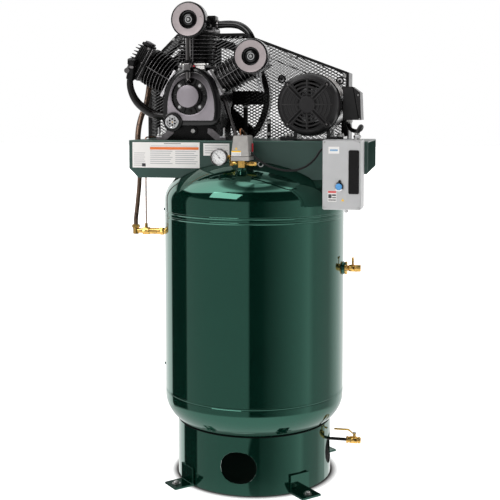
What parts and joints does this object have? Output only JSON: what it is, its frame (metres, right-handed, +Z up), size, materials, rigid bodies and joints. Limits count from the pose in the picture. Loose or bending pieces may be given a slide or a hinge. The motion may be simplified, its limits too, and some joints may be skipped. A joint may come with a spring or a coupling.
{
  "type": "vertical tank air compressor",
  "caption": "Vertical-tank air compressor: skirted receiver with a platform carrying a belt-driven W-type pump, electric motor, belt guard, pressure switch and starter.",
  "frame": {"origin": "bottom centre of the machine's box, on the floor", "axes": "+Z up, -Y towards the side with the pressure switch, gauge and starter, +X towards the motor and the outlet valve"},
  "size_m": [1.0731, 0.762, 1.985],
  "materials": {
    "green_paint": "deep gloss green enamel",
    "deck_paint": "satin grey-green paint",
    "black_paint": "satin black paint",
    "cover_casting": "painted satin casting",
    "cast_iron": "black painted casting",
    "steel": "zinc plated",
    "aluminium": "machined",
    "brass": "turned",
    "copper": "drawn copper tube",
    "filter_grey": "satin grey enamel",
    "rubber": "matt black",
    "fan_plastic": "moulded black",
    "box_grey": "light grey powder coat",
    "chrome": "polished",
    "red_plastic": "moulded red",
    "blue_plastic": "moulded blue",
    "yellow_vinyl": "dipped yellow vinyl"
  },
  "bodies": {
    "frame": {"base_skirt": "green_paint", "bearing_cap": "cover_casting", "breather_pipe": "steel", "check_valve": "brass", "conduit_box": "black_paint", "crankcase": "cast_iron", "crankcase_tube": "steel", "cylinder_centre": "cast_iron", "cylinder_left": "cast_iron", "cylinder_right": "cast_iron", "discharge_pipe": "copper", "drain_pipe": "black_paint", "drain_valve": "brass", "drive_belt": "rubber", "fan_cover": "fan_plastic", "filter_right": "filter_grey", "filter_top": "filter_grey", "flex_conduit": "rubber", "foot_front_left": "green_paint", "foot_front_right": "green_paint", "foot_rear_left": "green_paint", "foot_rear_right": "green_paint", "front_cover": "cover_casting", "gauge_case": "chrome", "guard_front": "black_paint", "guard_rear": "black_paint", "guard_rim": "black_paint", "head_centre": "cast_iron", "head_hose": "rubber", "head_left": "cast_iron", "head_right": "cast_iron", "intercooler_tube": "black_paint", "manifold": "brass", "motor_end_bell": "black_paint", "motor_frame": "black_paint", "platform": "deck_paint", "safety_valve": "brass", "side_valve": "brass", "sight_glass": "chrome", "starter_box": "box_grey", "starter_cover": "box_grey", "switch_base": "box_grey", "switch_cover": "box_grey", "switch_lead": "rubber", "tank_shell": "green_paint", "unloader_tube": "copper"},
    "crank": {"crankshaft": "steel", "flywheel": "black_paint"},
    "rotor": {"motor_rotor": "steel", "cooling_fan": "fan_plastic", "motor_pulley": "black_paint"},
    "piston_left": {"piston_left": "aluminium"},
    "piston_centre": {"piston_centre": "aluminium"},
    "piston_right": {"piston_right": "aluminium"},
    "drain_lever": {"drain_lever": "yellow_vinyl"},
    "side_valve_handle": {"side_valve_handle": "brass"},
    "auto_off_lever": {"auto_off_lever": "red_plastic"},
    "reset_button": {"reset_button": "blue_plastic"},
    "gauge_needle": {"gauge_needle": "black_paint"},
    "safety_pull": {"safety_pull": "steel"}
  },
  "joints": [
    {"name": "crank_spin", "type": "hinge", "parent": "frame", "child": "crank", "pos_m": [-0.1994, 0.275, 1.601], "axis": [0, 1, 0], "continuous": true},
    {"name": "motor_spin", "type": "hinge", "parent": "frame", "child": "rotor", "pos_m": [0.2876, 0.275, 1.567], "axis": [0, 1, 0], "continuous": true},
    {"name": "piston_left_slide", "type": "slide", "parent": "frame", "child": "piston_left", "axis": [-0.866, 0, 0.5], "range_m": [-0.05687, 0.02313]},
    {"name": "piston_centre_slide", "type": "slide", "parent": "frame", "child": "piston_centre", "axis": [0, 0, 1], "range_m": [-0.08, 0]},
    {"name": "piston_right_slide", "type": "slide", "parent": "frame", "child": "piston_right", "axis": [0.866, 0, 0.5], "range_m": [-0.05687, 0.02313]},
    {"name": "drain_lever_turn", "type": "hinge", "parent": "frame", "child": "drain_lever", "pos_m": [0.4736, 0, 0.1754], "axis": [0, 0, 1], "range_deg": [0, 90]},
    {"name": "side_valve_turn", "type": "hinge", "parent": "frame", "child": "side_valve_handle", "pos_m": [0.4621, 0, 0.925], "axis": [0, 0, 1], "range_deg": [0, 90]},
    {"name": "auto_off_turn", "type": "hinge", "parent": "frame", "child": "auto_off_lever", "pos_m": [0.0838, -0.262, 1.384], "axis": [1, 0, 0], "range_deg": [0, 60]},
    {"name": "reset_button_press", "type": "slide", "parent": "frame", "child": "reset_button", "axis": [0, 1, 0], "range_m": [0, 0.004], "stiffness_N_per_m": 600},
    {"name": "gauge_needle_turn", "type": "hinge", "parent": "frame", "child": "gauge_needle", "pos_m": [-0.0454, -0.285, 1.3565], "axis": [0, 1, 0], "range_deg": [-97, 173], "stiffness_Nm_per_rad": 0.005},
    {"name": "safety_ring_pull", "type": "slide", "parent": "frame", "child": "safety_pull", "axis": [1, 0, 0], "range_m": [0, 0.004], "stiffness_N_per_m": 900}
  ],
  "couplings": [
    {"joint": "motor_spin", "follows": "crank_spin", "ratio": 2.5}
  ]
}
